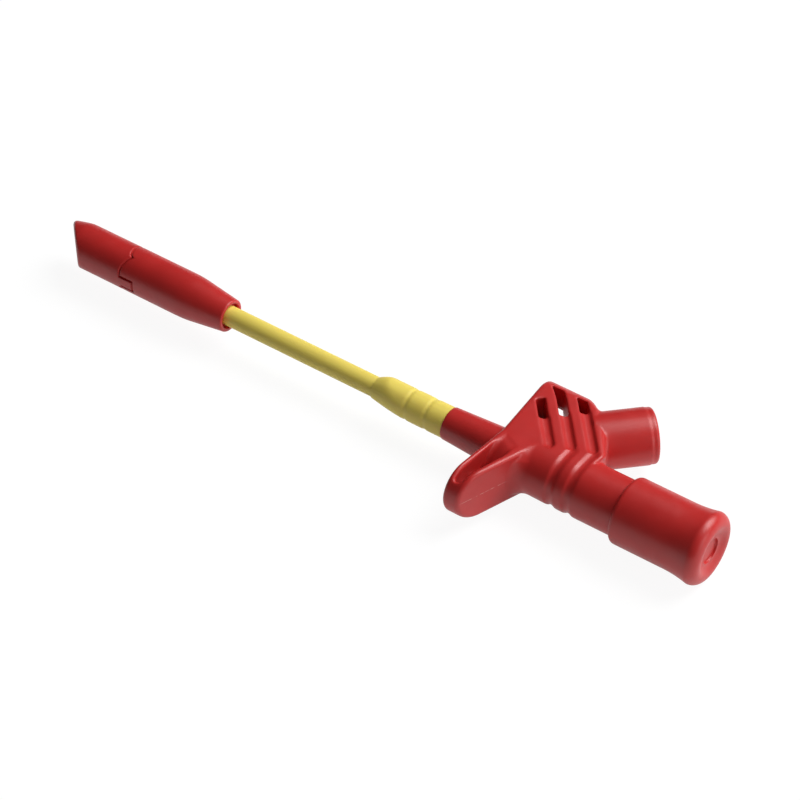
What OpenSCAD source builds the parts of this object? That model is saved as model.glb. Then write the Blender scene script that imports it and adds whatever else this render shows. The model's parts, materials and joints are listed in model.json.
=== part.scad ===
// Grabber test hook. Pressing the plunger pushes a hook out of the insulated head of a long
// slim shaft, a spring draws it back, and a shrouded 4 mm socket in the handle takes the lead.
// X runs from the hooked tip to the plunger, Y to the socket side and Z up.
// Inner work is done about the shaft's axis with x = 0 on the front face of the finger flange.

/* [Head] */
// Diameter of the head sleeve and the nose hood
head_d = 10.6; // [9.8:0.1:12]
// Length of the nose hood along its long side
nose_len = 22.4; // [20:0.2:26]
// Slant of the nose's open end, from square to the axis
nose_slant = 45; // [30:1:46]
// Depth of the taper outside the nose's long lip
lip_taper = 1.6; // [0.8:0.1:1.7]
// Length of that taper
lip_taper_len = 6.8; // [4:0.2:8]
// Bore of the nose hood
nose_bore = 6; // [5.8:0.1:6.4]
// Length of the head sleeve from the seam to its mouth
sleeve_len = 27.4; // [25:0.2:34]
// Length of the taper down to the mouth
mouth_taper = 11; // [8:0.5:14]
// Outer diameter of the mouth
mouth_d = 7.8; // [7.2:0.1:8.5]
// Length of the nose tongues that lock in the sleeve
tongue_len = 2.7; // [2:0.1:3.5]
// Width of those tongues
tongue_w = 2.9; // [2.4:0.1:3.2]
// Radius of the rounded lobes along the seam
lobe_r = 1.5; // [1:0.1:1.8]

/* [Shaft] */
// Diameter of the insulating shaft tube
shaft_d = 4.7; // [4.2:0.1:5]
// Free length of the shaft between the mouth and the collar
shaft_len = 40.6; // [25:0.1:80]
// Diameter of the guide tube inside the shaft
guide_d = 3.2; // [3:0.1:3.4]
// Diameter of the push rod
rod_d = 1.9; // [1.5:0.05:2]
// Length of the shaft collar
collar_len = 19.4; // [18:0.2:24]
// Diameter of the shaft collar
collar_d = 7.3; // [6.6:0.1:7.4]
// Length of the collar's rounded shoulder
collar_shoulder = 8; // [6:0.5:9]

/* [Handle] */
// Length of the conical neck in front of the finger flange
neck_len = 13.6; // [11:0.1:18]
// Diameter of the neck where it meets the collar
neck_front_d = 7.6; // [7.4:0.1:8.2]
// Diameter of the neck at the finger flange
neck_rear_d = 9.1; // [8.4:0.1:10]
// Diameter of the barrel
barrel_d = 12.9; // [12.2:0.1:13.6]
// Length of the barrel behind the flange's front face
barrel_len = 39.5; // [38:0.5:46]
// Reach of the finger wing from the barrel's axis
wing_reach = 20.6; // [19:0.2:24]
// Reach of the web on the socket's side
web_reach = 21.8; // [20:0.2:24]
// Forward sweep of the flange at its ends
flange_sweep = 1.4; // [0:0.1:2]
// Height of the finger flange
flange_h = 12.4; // [11.6:0.1:12.6]
// Upward tilt of the finger wing
wing_tilt = 2.5; // [0:0.5:4]
// Thickness of the finger wing at its end
wing_end_t = 4; // [3.6:0.1:5]
// Thickness of the finger wing at its root
wing_root_t = 7; // [6:0.2:8]
// Wall left round the moulded pocket in the wing
wing_wall = 1.3; // [1:0.1:1.5]
// Width of the grooves and of the web's windows
groove_w = 2.1; // [1.6:0.1:2.4]
// Depth of the grooves
groove_depth = 0.6; // [0.3:0.1:0.8]
// Distance from one groove to the next
groove_pitch = 4.5; // [4:0.1:5]

/* [Socket] */
// Angle between the socket and the barrel
socket_angle = 45; // [42:1:50]
// Place along the barrel where the socket's axis starts
socket_x = 1.5; // [0.5:0.1:2.5]
// Length of the socket from the barrel's axis
socket_len = 32.1; // [30:0.1:38]
// Outer diameter of the socket's shroud
socket_d = 12.7; // [12.2:0.1:13.2]
// Inner diameter of the shroud
shroud_bore = 10.4; // [10.2:0.1:10.8]
// Depth of the shroud
shroud_depth = 12.5; // [11:0.5:13]
// Bore of the contact for a 4 mm plug
contact_bore = 4; // [4:0.05:4.1]
// Outer diameter of the contact
contact_d = 5.5; // [5.2:0.1:5.8]
// Depth of the contact's bore
contact_depth = 18; // [16:0.5:19]

/* [Plunger] */
// Diameter of the plunger at its front
plunger_d = 15.3; // [14.6:0.1:16]
// Diameter of the plunger's rim
plunger_rim_d = 16.6; // [15.8:0.1:17.5]
// Length of the plunger
plunger_len = 21.4; // [20:0.1:23]
// Travel of the plunger
travel = 9; // [5:0.5:9.5]
// Diameter of the recess in the plunger's end
recess_d = 5.8; // [4:0.1:8]
// Depth of that recess
recess_depth = 0.5; // [0.2:0.1:0.8]

/* [Mechanism] */
// Width of the hook's throat
hook_throat = 2; // [1.6:0.1:2.2]
// Width of the hook's wire-formed strip
hook_strip = 1.1; // [0.9:0.1:1.2]
// Thickness of the strip
hook_t = 1.4; // [1:0.1:1.8]
// Diameter of the hook's carrier
carrier_d = 5.2; // [4.8:0.1:5.4]
// Outer diameter of the return spring
spring_d = 7.8; // [7.2:0.1:8]
// Diameter of the spring's wire
spring_wire = 0.8; // [0.6:0.05:0.9]
// Turns of the spring
spring_turns = 8; // [6:1:9]
// Diameter of the contact bush round the rod
bush_d = 6; // [5.6:0.1:6.2]

/* [Hidden] */
$fn = 64;

// Clearances: a push fit between fixed pieces, a running fit, and a gap that stays open
push_gap = 0.03;
run_gap = 0.06;
seam_gap = 0.08;

// Stations along the shaft
collar_rear_x = -neck_len;
collar_front_x = collar_rear_x - collar_len;
mouth_x = collar_front_x - shaft_len;
seam_x = mouth_x - sleeve_len;
tip_x = seam_x - nose_len;

// Radii that several pieces share
head_r = head_d / 2;
shaft_r = shaft_d / 2;
guide_r = guide_d / 2;
rod_r = rod_d / 2;
rod_bore_r = rod_r + run_gap;
barrel_r = barrel_d / 2;
socket_r = socket_d / 2;
bush_r = bush_d / 2;

// Inside of the head
tube_seat = 13;
bush_len = 7;
head_bush_r = 3;
head_bush_rear_x = mouth_x - tube_seat;
head_bush_front_x = head_bush_rear_x - bush_len;
spigot_wall = 0.75;
spigot_r = nose_bore / 2 + spigot_wall;
spigot_rear_x = head_bush_front_x - 0.8;
mouth_recess_d = 6;
mouth_recess_depth = 1.4;
mouth_round = 0.5;
lobe_angles = [152, 62, -62, -150];
tip_r = head_r - lip_taper;
lip_mid_r = head_r - lip_taper * 0.4;
lip_mid_x = tip_x + lip_taper_len * 0.54;
lip_slope = (lip_mid_r - tip_r) / (lip_mid_x - tip_x);

// The hook stays a little behind the slanted end of the nose
hook_inset = 0.2;
hook_inner_r = hook_throat / 2;
hook_outer_r = hook_inner_r + hook_strip;
hook_y = -0.5;
hook_x = tip_x + (tip_r - hook_y) * tan(nose_slant) + (hook_outer_r + hook_inset) / cos(nose_slant);
hook_shank = 5;
hook_tip_len = 0.9;
hook_tail_len = 4.4;
carrier_front_x = hook_x + hook_shank;
carrier_len = 7.6;
carrier_slot_len = 5;
carrier_rear_x = carrier_front_x + carrier_len;
carrier_r = carrier_d / 2;
rod_seat = 2;
pin_r = 0.5;
pin_x = carrier_front_x + 2.6;

// Plunger and what it runs on
plunger_gap = 8.2;
plunger_stop = 1.2;
plunger_front_x = barrel_len - plunger_gap;
plunger_end_x = plunger_front_x + plunger_len;
plunger_floor_x = barrel_len + travel + plunger_stop;
plunger_round = 0.7;
rim_round = 2.4;
dish_depth = 0.8;
rim_back = 6;
bead_r = barrel_r + 0.35;
bead_len = 2;
bead_gap = 0.1;
boss_r = 2.7;
boss_len = 5.5;
anchor_r = 1.9;
anchor_len = 4.5;

// Inside of the barrel
spring_bore_r = spring_d / 2 + 0.35;
washer_x = 20;
washer_t = 0.6;
bush_front_x = -3.5;
bush_rear_x = 7;
wiper_r = 0.42;
wiper_x = -1.6;

// Socket, measured along its own axis
shroud_floor = socket_len - shroud_depth;
contact_front = socket_len - 3;
contact_floor = contact_front - contact_depth;
contact_base = 2.5;
contact_rear = contact_floor - contact_base;
contact_r = contact_d / 2;
insulator_r = contact_r + 0.75;
insulator_lip = 0.6;
insulator_flange_t = 1.2;
link_r = 0.9;
link_start = 2.7;
rim_line_w = 0.4;
rim_line_depth = 0.25;
rim_line_s = socket_len - 1.6;

// Web between the flange and the socket, with its grooves and windows
rib_r = socket_r + 0.2;
web_end_s = 20.6;
groove_s = [for (i = [0 : 2]) 8.7 + i * groove_pitch];
barrel_groove_x = [16.3, 16.3 + groove_pitch];
window_start = 3.5;
window_front_wall = 1.1;
window_far_wall = 4.1;
hollow_top_z = 1.5;
pocket_floor = 1.2;
pocket_root_y = -1.2;
pocket_slope_y = -12;
wing_end_x = wing_end_t - flange_sweep;
barrel_set = 0.3;
barrel_rise = 4;

// The part lies on its lowest point, with the middle of its box over the origin
far_y = max(web_reach, socket_len * sin(socket_angle) + socket_r * cos(socket_angle));
origin_x = -(tip_x + plunger_end_x) / 2;
near_y = (wing_reach - flange_h / 2) * cos(wing_tilt) + flange_h / 2;
origin_y = -(far_y - near_y) / 2;
origin_z = plunger_rim_d / 2;

red = "#b5242c";
yellow = "#e3cc45";
brass = "#c8a24a";
steel = "#a9adb3";

// Puts a piece drawn about the shaft's axis into the part's own frame
module placed() {
    translate([origin_x, origin_y, origin_z]) children();
}

// Solid turned about the X axis from points given as radius and station
module turned(profile) {
    rotate([0, 90, 0]) rotate_extrude() polygon(profile);
}

// Plain rod or drill along X
module rod_x(r, x0, x1) {
    translate([x0, 0, 0]) rotate([0, 90, 0]) cylinder(r = r, h = x1 - x0);
}

// Tube along X
module tube_x(r_out, r_in, x0, x1) {
    turned([[r_in, x0], [r_out, x0], [r_out, x1], [r_in, x1]]);
}

// Local frame of the socket, with X along its axis and Y towards the flange
module on_socket() {
    translate([socket_x, 0, 0]) rotate([0, 0, socket_angle]) children();
}

// Points of a quarter round from one angle to another
function arc(cr, cx, r, a0, a1, n = 6) =
    [for (i = [0 : n]) let (a = a0 + (a1 - a0) * i / n) [cr + r * cos(a), cx + r * sin(a)]];

// Rounded lobes of the sleeve's front edge, seen as drills square to the axis
module seam_lobes(grow) {
    for (a = lobe_angles)
        rotate([a, 0, 0]) translate([seam_x, 0, 0]) rotate([-90, 0, 0]) cylinder(r = lobe_r + grow, h = head_d);
}

// Tongues of the nose that lock in the sleeve, one on the wing's side and one opposite
module seam_tongues(grow) {
    translate([seam_x - 1, -head_d, -tongue_w / 2 - grow])
        cube([tongue_len + 1 + grow, 2 * head_d, tongue_w + 2 * grow]);
}

// Space in front of the nose's slanted end
module slant_cut() {
    translate([tip_x + tip_r * tan(nose_slant), 0, 0]) rotate([0, 0, nose_slant])
        translate([-2 * nose_len, -2 * head_d, -head_d]) cube([2 * nose_len, 4 * head_d, 2 * head_d]);
}

module nose_hood() {
    color(red) placed() {
        difference() {
            union() {
                turned([[0, tip_x - 1], [tip_r - lip_slope, tip_x - 1], [lip_mid_r, lip_mid_x],
                        [head_r, tip_x + lip_taper_len], [head_r, seam_x], [0, seam_x]]);
                rod_x(spigot_r, seam_x - 1, spigot_rear_x);
            }
            rod_x(nose_bore / 2, tip_x - 1, spigot_rear_x + 1);
            slant_cut();
            intersection() {
                tube_x(head_d, spigot_r, seam_x - 2 * lobe_r, seam_x + 1);
                seam_lobes(seam_gap);
            }
        }
        intersection() {
            tube_x(head_r, spigot_r - spigot_wall / 2, seam_x - 1, seam_x + tongue_len);
            seam_tongues(0);
        }
    }
}

module head_sleeve() {
    sleeve_bore_r = spigot_r + push_gap;
    taper_x = mouth_x - mouth_taper;
    color(red) placed() difference() {
        union() {
            turned(concat(
                [[sleeve_bore_r, seam_x + seam_gap], [head_r, seam_x + seam_gap], [head_r, taper_x]],
                arc(mouth_d / 2 - mouth_round, mouth_x - mouth_round, mouth_round, 0, 90),
                [[mouth_recess_d / 2, mouth_x], [mouth_recess_d / 2, mouth_x - mouth_recess_depth],
                 [shaft_r + push_gap, mouth_x - mouth_recess_depth], [shaft_r + push_gap, head_bush_rear_x],
                 [head_bush_r + push_gap, head_bush_rear_x], [head_bush_r + push_gap, head_bush_front_x],
                 [sleeve_bore_r, head_bush_front_x]]));
            intersection() {
                tube_x(head_r, sleeve_bore_r, seam_x - 2 * lobe_r, seam_x + 1);
                seam_lobes(0);
            }
        }
        seam_tongues(seam_gap);
    }
}

module head_bush() {
    color(brass) placed()
        tube_x(head_bush_r, guide_r + push_gap, head_bush_front_x, head_bush_rear_x);
}

module shaft_tube() {
    tube_rear_x = collar_rear_x + 6;
    color(yellow) placed() tube_x(shaft_r, guide_r + push_gap, head_bush_rear_x, tube_rear_x);
}

module shaft_collar() {
    collar_r = collar_d / 2;
    ring_w = 2.6;
    ring_depth = 0.12;
    lip = 0.25;
    shoulder_x = collar_front_x + collar_shoulder;
    shoulder = collar_r - shaft_r - lip;
    rings = [shoulder_x + 1.4, shoulder_x + 6.6];
    color(yellow) placed() turned(concat(
        [[shaft_r + push_gap, collar_front_x]],
        [for (i = [0 : 10]) let (t = i / 10)
            [shaft_r + lip + shoulder * sin(90 * t), collar_front_x + collar_shoulder * t]],
        [for (x = rings) each [[collar_r, x - ring_w / 2], [collar_r - ring_depth, x - ring_w / 4],
                               [collar_r - ring_depth, x + ring_w / 4], [collar_r, x + ring_w / 2]]],
        [[collar_r, collar_rear_x], [shaft_r + push_gap, collar_rear_x]]));
}

module guide_tube() {
    color(brass) placed() tube_x(guide_r, rod_bore_r, head_bush_front_x, bush_front_x);
}

// Oval of the finger flange, carried along X
module flange_oval(depth) {
    flange_r = flange_h / 2;
    translate([-flange_sweep, 0, 0]) rotate([90, 0, 90]) linear_extrude(depth) {
        rotate(-wing_tilt) {
            translate([flange_r - wing_reach, -flange_r]) square([wing_reach - flange_r, flange_h]);
            translate([flange_r - wing_reach, 0]) circle(flange_r);
        }
        circle(flange_r);
        translate([0, -flange_r]) square([web_reach - flange_r, flange_h]);
        translate([web_reach - flange_r, 0]) circle(flange_r);
    }
}

// Plan of the flange: a tapered finger wing on one side and the socket's web on the other
module flange_plan() {
    web_rise = (web_reach - web_end_s * sin(socket_angle)) / cos(socket_angle);
    web_x = socket_x + web_end_s * cos(socket_angle);
    linear_extrude(2 * flange_h, center = true) {
        polygon([[0, 0], [-flange_sweep, -wing_reach], [wing_end_x, -wing_reach], [wing_root_t, -barrel_r],
                 [wing_root_t, 0]]);
        polygon([[0, 0], [-flange_sweep, web_reach], [web_x - web_rise * sin(socket_angle), web_reach],
                 [web_x, web_end_s * sin(socket_angle)], [socket_x, 0]]);
    }
}

// Moulded pocket in the wing, with a floor that climbs to the root
module wing_pocket() {
    slope = (wing_root_t - wing_end_x) / (wing_reach - barrel_r);
    end_y = -wing_reach + 2.4;
    front_x = wing_wall + flange_sweep * end_y / wing_reach;
    rear_x = wing_end_x + slope * (wing_reach + end_y);
    root_x = wing_end_x + slope * (wing_reach + pocket_root_y - 3);
    intersection() {
        linear_extrude(flange_h) polygon([[front_x, end_y], [rear_x - wing_wall, end_y],
            [root_x - wing_wall, pocket_root_y - 3], [wing_wall * 2, pocket_root_y], [wing_wall, pocket_root_y]]);
        translate([-flange_sweep, 0, 0]) rotate([90, 0, 90]) linear_extrude(3 * wing_root_t)
            polygon([[pocket_root_y, flange_h / 2], [pocket_slope_y, pocket_floor], [-wing_reach, pocket_floor],
                     [-wing_reach, flange_h], [pocket_root_y, flange_h]]);
    }
}

// Windows through the web, one along each groove, inside the web's front and far walls
module web_windows() {
    intersection() {
        on_socket() for (s = groove_s)
            translate([s - groove_w / 2, window_start, -flange_h]) cube([groove_w, web_reach, 2 * flange_h]);
        translate([window_front_wall, 0, -2 * flange_h])
            cube([web_reach, web_reach - window_far_wall, 4 * flange_h]);
    }
}

// Hollow under the web that the windows open into
module web_hollow() {
    rim_y = web_reach - wing_wall;
    start_s = groove_s[0] - groove_w / 2;
    end_s = groove_s[2] + groove_w / 2;
    intersection() {
        translate([0, 0, -flange_h]) linear_extrude(flange_h + hollow_top_z)
            polygon([[wing_wall, 0], [wing_wall - flange_sweep, rim_y], [web_reach, rim_y], [web_reach, 0]]);
        on_socket() translate([start_s, window_start, -2 * flange_h])
            cube([end_s - start_s, web_reach, 4 * flange_h]);
    }
}

// Ring groove with slanted walls round the X axis
module ring_groove(r, x, w, depth) {
    turned([[r + 1, x - w / 2], [r + 1, x + w / 2], [r, x + w / 2], [r - depth, x + w / 4],
            [r - depth, x - w / 4], [r, x - w / 2]]);
}

module handle_body() {
    color(red) placed() difference() {
        union() {
            turned([[0, -neck_len], [neck_front_d / 2, -neck_len], [neck_rear_d / 2, 0],
                    [flange_h / 2 - barrel_set, 0], [barrel_r, barrel_rise], [barrel_r, barrel_len - bead_len],
                    [bead_r, barrel_len - bead_len], [bead_r, barrel_len - bead_gap], [barrel_r, barrel_len],
                    [0, barrel_len]]);
            intersection() {
                flange_oval(2 * web_reach);
                flange_plan();
            }
            on_socket() rod_x(rib_r, 0, web_end_s);
            on_socket() rod_x(socket_r, 0, socket_len);
        }
        for (x = barrel_groove_x) ring_groove(barrel_r, x, groove_w, groove_depth);
        on_socket() for (s = groove_s) intersection() {
            ring_groove(rib_r, s, groove_w, groove_depth);
            translate([0, -rib_r * 2, -rib_r * 2]) cube([socket_len, rib_r * 2 + window_start + 0.1, rib_r * 4]);
        }
        web_windows();
        web_hollow();
        on_socket() ring_groove(socket_r, rim_line_s, rim_line_w, rim_line_depth);
        rotate([-wing_tilt, 0, 0]) for (flip = [0, 1]) mirror([0, 0, flip]) wing_pocket();
        rod_x(shaft_r + push_gap, -neck_len - 1, collar_rear_x + 6);
        rod_x(guide_r + push_gap, -neck_len, bush_front_x);
        rod_x(bush_r + push_gap, bush_front_x, washer_x);
        rod_x(spring_bore_r, washer_x, barrel_len + 1);
        on_socket() {
            rod_x(shroud_bore / 2, shroud_floor, socket_len + 1);
            rod_x(contact_r + push_gap, contact_rear, shroud_floor + 1);
            rod_x(link_r + push_gap, 0, contact_rear + 1);
        }
    }
}

module plunger() {
    front_r = plunger_d / 2;
    rim_r = plunger_rim_d / 2;
    dish_x = plunger_end_x - dish_depth;
    lip_rear_x = barrel_len - bead_len - bead_gap;
    lip_bore_r = barrel_r + run_gap;
    bore_r = bead_r + run_gap;
    color(red) placed() difference() {
        turned(concat(
            [[lip_bore_r, plunger_front_x]],
            arc(front_r - plunger_round, plunger_front_x + plunger_round, plunger_round, -90, 0),
            [for (i = [0 : 8]) let (t = i / 8)
                [front_r + (rim_r - front_r) * t * t, plunger_end_x - rim_round - rim_back * (1 - t)]],
            arc(rim_r - rim_round, plunger_end_x - rim_round, rim_round, 0, 90),
            [[recess_d / 2, dish_x], [recess_d / 2, dish_x - recess_depth],
             [0, dish_x - recess_depth], [0, plunger_floor_x - boss_len],
             [boss_r, plunger_floor_x - boss_len], [boss_r, plunger_floor_x], [bore_r, plunger_floor_x],
             [bore_r, lip_rear_x], [lip_bore_r, lip_rear_x]]));
        rod_x(anchor_r + push_gap, plunger_floor_x - boss_len - 1, plunger_floor_x - boss_len + anchor_len);
    }
}

module push_rod() {
    color(steel) placed()
        rod_x(rod_r, carrier_rear_x - rod_seat, plunger_floor_x - boss_len + anchor_len);
}

// Bent strip of the hook, drawn flat: tail, shank, bend and point
module hook_outline() {
    top_y = hook_y + hook_outer_r;
    translate([hook_x, hook_y]) difference() {
        circle(hook_outer_r);
        circle(hook_inner_r);
        translate([0, -2 * hook_outer_r]) square([2 * hook_outer_r, 4 * hook_outer_r]);
    }
    translate([hook_x - 0.01, top_y - hook_strip]) square([hook_shank + hook_tail_len, hook_strip]);
    translate([hook_x - 0.01, hook_y - hook_outer_r]) square([hook_tip_len, hook_strip]);
    translate([carrier_front_x + 0.6, -1.4]) square([hook_tail_len - 0.6, top_y + 1.4]);
}

module hook() {
    color(steel) placed() difference() {
        linear_extrude(hook_t, center = true) hook_outline();
        translate([pin_x, 0, 0]) cylinder(r = pin_r + push_gap, h = 2 * hook_t, center = true);
    }
}

module hook_carrier() {
    slot = hook_t + 2 * push_gap;
    color(brass) placed() difference() {
        rod_x(carrier_r, carrier_front_x, carrier_rear_x);
        translate([carrier_front_x - 1, -carrier_d, -slot / 2]) cube([carrier_slot_len + 1, 2 * carrier_d, slot]);
        rod_x(rod_r + push_gap, carrier_rear_x - rod_seat, carrier_rear_x + 1);
        translate([pin_x, 0, 0]) cylinder(r = pin_r + push_gap, h = 2 * carrier_d, center = true);
    }
}

module hook_pin() {
    color(steel) placed() translate([pin_x, 0, 0])
        cylinder(r = pin_r, h = carrier_d - 0.6, center = true);
}

module rod_anchor() {
    color(brass) placed() tube_x(anchor_r, rod_r + push_gap, plunger_floor_x - boss_len,
                                 plunger_floor_x - boss_len + anchor_len);
}

// Coil of round wire along X, closed at both ends
module coil(r, wire_r, x0, length, turns) {
    sides = 8;
    steps = 14 * turns;
    ring = function (i) let (a = 360 * turns * i / steps, x = x0 + length * i / steps)
        [for (k = [0 : sides - 1]) let (b = 360 * k / sides, q = r + wire_r * cos(b))
            [x + wire_r * sin(b), q * cos(a), q * sin(a)]];
    quads = [for (i = [0 : steps - 1], k = [0 : sides - 1]) let (m = (k + 1) % sides)
        [i * sides + k, i * sides + m, (i + 1) * sides + m, (i + 1) * sides + k]];
    start_cap = [for (k = [sides - 1 : -1 : 0]) k];
    end_cap = [for (k = [0 : sides - 1]) steps * sides + k];
    polyhedron([for (i = [0 : steps]) each ring(i)], concat(quads, [start_cap, end_cap]));
}

module return_spring() {
    wire_r = spring_wire / 2;
    start_x = washer_x + washer_t + wire_r + push_gap;
    color(steel) placed() coil(spring_d / 2 - wire_r, wire_r, start_x,
                               plunger_floor_x - wire_r - push_gap - start_x, spring_turns);
}

module spring_washer() {
    color(steel) placed() tube_x(spring_bore_r - push_gap, rod_r + 0.4, washer_x, washer_x + washer_t);
}

module rod_bush() {
    color(brass) placed() difference() {
        rod_x(bush_r, bush_front_x, bush_rear_x);
        rod_x(rod_bore_r, bush_front_x - 1, bush_rear_x + 1);
        tube_x(rod_bore_r + 2 * wiper_r + push_gap, rod_bore_r / 2, wiper_x - wiper_r - push_gap,
               wiper_x + wiper_r + push_gap);
        on_socket() rod_x(link_r + push_gap, link_start - push_gap, bush_d);
    }
}

module sliding_contact() {
    color(brass) placed() translate([wiper_x, 0, 0]) rotate([0, 90, 0]) rotate_extrude()
        translate([rod_bore_r + wiper_r, 0]) circle(wiper_r);
}

module socket_contact() {
    color(brass) placed() on_socket() difference() {
        rod_x(contact_r, contact_rear, contact_front);
        rod_x(contact_bore / 2, contact_floor, contact_front + 1);
    }
}

module socket_insulator() {
    tip = contact_front + insulator_lip;
    flange_r = shroud_bore / 2 - push_gap;
    color(red) placed() on_socket() turned([
        [contact_r + push_gap, shroud_floor], [flange_r, shroud_floor],
        [flange_r, shroud_floor + insulator_flange_t], [insulator_r, shroud_floor + insulator_flange_t],
        [insulator_r, tip], [contact_bore / 2 + 0.15, tip], [contact_bore / 2 + 0.15, contact_front + push_gap],
        [contact_r + push_gap, contact_front + push_gap]]);
}

module contact_link() {
    color(brass) placed() on_socket() rod_x(link_r, link_start, contact_rear);
}

nose_hood();
head_sleeve();
head_bush();
shaft_tube();
shaft_collar();
guide_tube();
handle_body();
plunger();
push_rod();
hook();
hook_carrier();
hook_pin();
rod_anchor();
return_spring();
spring_washer();
rod_bush();
sliding_contact();
socket_contact();
socket_insulator();
contact_link();
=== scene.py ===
# Looks of a grabber test hook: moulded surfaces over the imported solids, finishes and a plain stage.
# Shapes are worked out in millimetres about the shaft's axis, with x = 0 on the finger flange's
# front face, x to the plunger, y to the socket's side and z up, and then moved into the part's frame.

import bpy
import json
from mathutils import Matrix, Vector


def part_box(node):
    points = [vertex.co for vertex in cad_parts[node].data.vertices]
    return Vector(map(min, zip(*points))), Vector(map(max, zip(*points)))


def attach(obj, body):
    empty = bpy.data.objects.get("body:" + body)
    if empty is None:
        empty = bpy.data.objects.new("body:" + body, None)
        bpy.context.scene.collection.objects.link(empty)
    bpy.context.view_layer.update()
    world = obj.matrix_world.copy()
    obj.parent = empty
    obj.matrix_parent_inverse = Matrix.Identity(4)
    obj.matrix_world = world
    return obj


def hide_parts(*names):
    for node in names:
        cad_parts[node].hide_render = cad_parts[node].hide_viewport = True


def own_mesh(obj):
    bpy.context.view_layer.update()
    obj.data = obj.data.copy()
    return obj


bl_info = {
    "name": "Grabber test hook",
    "version": (1, 0, 0),
    "blender": (4, 5, 0),
    "location": "View3D > Sidebar > Test hook",
    "description": "Builds the moulded surfaces, finishes and stage of a grabber test hook",
    "category": "Object",
}

import json
import math

import bmesh
import bpy
import numpy as np
from mathutils import Matrix, Vector

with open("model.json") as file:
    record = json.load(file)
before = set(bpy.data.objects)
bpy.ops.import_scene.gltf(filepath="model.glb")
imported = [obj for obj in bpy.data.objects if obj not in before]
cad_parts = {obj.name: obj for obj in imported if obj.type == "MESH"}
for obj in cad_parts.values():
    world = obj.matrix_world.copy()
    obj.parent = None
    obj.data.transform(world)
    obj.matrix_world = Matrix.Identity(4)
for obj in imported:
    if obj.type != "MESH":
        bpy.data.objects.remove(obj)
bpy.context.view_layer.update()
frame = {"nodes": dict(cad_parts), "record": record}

# The neck's length before the flange's front face, and the place of the spring's seat behind that face
NECK_LENGTH = 0.0136
SPRING_SEAT = 0.0206
# Play in millimetres between pieces that touch
PLAY = 0.03

# The shaft's axis and the flange's front face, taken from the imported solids
shaft_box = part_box("shaft_tube")
handle_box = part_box("handle_body")
AXIS_Y = (shaft_box[0].y + shaft_box[1].y) / 2
AXIS_Z = (shaft_box[0].z + shaft_box[1].z) / 2
FLANGE_X = handle_box[0].x + NECK_LENGTH


def linear(hex_code):
    """Linear colour of an sRGB hex code: the sRGB curve taken off each of its three bytes."""
    parts = np.array([int(hex_code[i:i + 2], 16) for i in (0, 2, 4)]) / 255
    return tuple(np.where(parts <= 0.04045, parts / 12.92, ((parts + 0.055) / 1.055) ** 2.4))


def length(name, description, default):
    """One length of a piece, in metres."""
    return bpy.props.FloatProperty(name=name, description=description, default=default,
                                   unit="LENGTH", subtype="DISTANCE", precision=5)


def angle(name, description, default):
    """One angle of a piece, given in degrees."""
    return bpy.props.FloatProperty(name=name, description=description, default=math.radians(default),
                                   unit="ROTATION", subtype="ANGLE")


def colour(name, description, hex_code):
    """One colour of a finish."""
    return bpy.props.FloatVectorProperty(name=name, description=description, size=3, min=0, max=1,
                                         default=linear(hex_code), subtype="COLOR")


class HeadSizes(bpy.types.PropertyGroup):
    """Sizes of the nose hood and the head sleeve."""
    diameter: length("Head", "Diameter of the nose hood and the head sleeve", 0.0106)
    nose_length: length("Nose", "Length of the nose hood along its long side", 0.0224)
    slant: angle("Slant", "Slant of the nose's open end, from square to the axis", 45)
    lip_taper: length("Lip taper", "How much the nose's radius falls at its long lip", 0.0016)
    lip_taper_length: length("Lip taper length", "Length of that taper", 0.0068)
    nose_bore: length("Nose bore", "Bore of the nose hood", 0.006)
    sleeve_length: length("Sleeve", "Length of the sleeve from the seam to its mouth", 0.0274)
    mouth_taper: length("Mouth taper", "Length of the taper down to the mouth", 0.011)
    mouth_diameter: length("Mouth", "Outer diameter of the mouth", 0.0078)
    mouth_recess: length("Mouth recess", "Diameter of the recess round the shaft", 0.0061)
    tongue_width: length("Tongue", "Width of the nose tongue that locks in the sleeve", 0.0029)
    tongue_length: length("Tongue length", "Length of that tongue", 0.0027)
    seam_depth: length("Seam depth", "Depth of the groove where nose and sleeve meet", 0.0005)
    seam_width: length("Seam width", "Half the width of that groove", 0.0002)


class ShaftSizes(bpy.types.PropertyGroup):
    """Sizes of the insulating shaft and its collar."""
    diameter: length("Shaft", "Diameter of the insulating shaft", shaft_box[1].z - shaft_box[0].z)
    free_length: length("Free length", "Length of the shaft between mouth and collar", 0.0406)
    collar_length: length("Collar", "Length of the collar", 0.0194)
    collar_diameter: length("Collar diameter", "Diameter of the collar", 0.0073)
    shoulder: length("Shoulder", "Mean length of the collar's rounded shoulder", 0.007)
    shoulder_skew: length("Shoulder skew", "How much longer the shoulder is underneath", 0.0038)
    ring_depth: length("Ring depth", "Depth of the two rings pressed into the collar", 0.00015)


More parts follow.
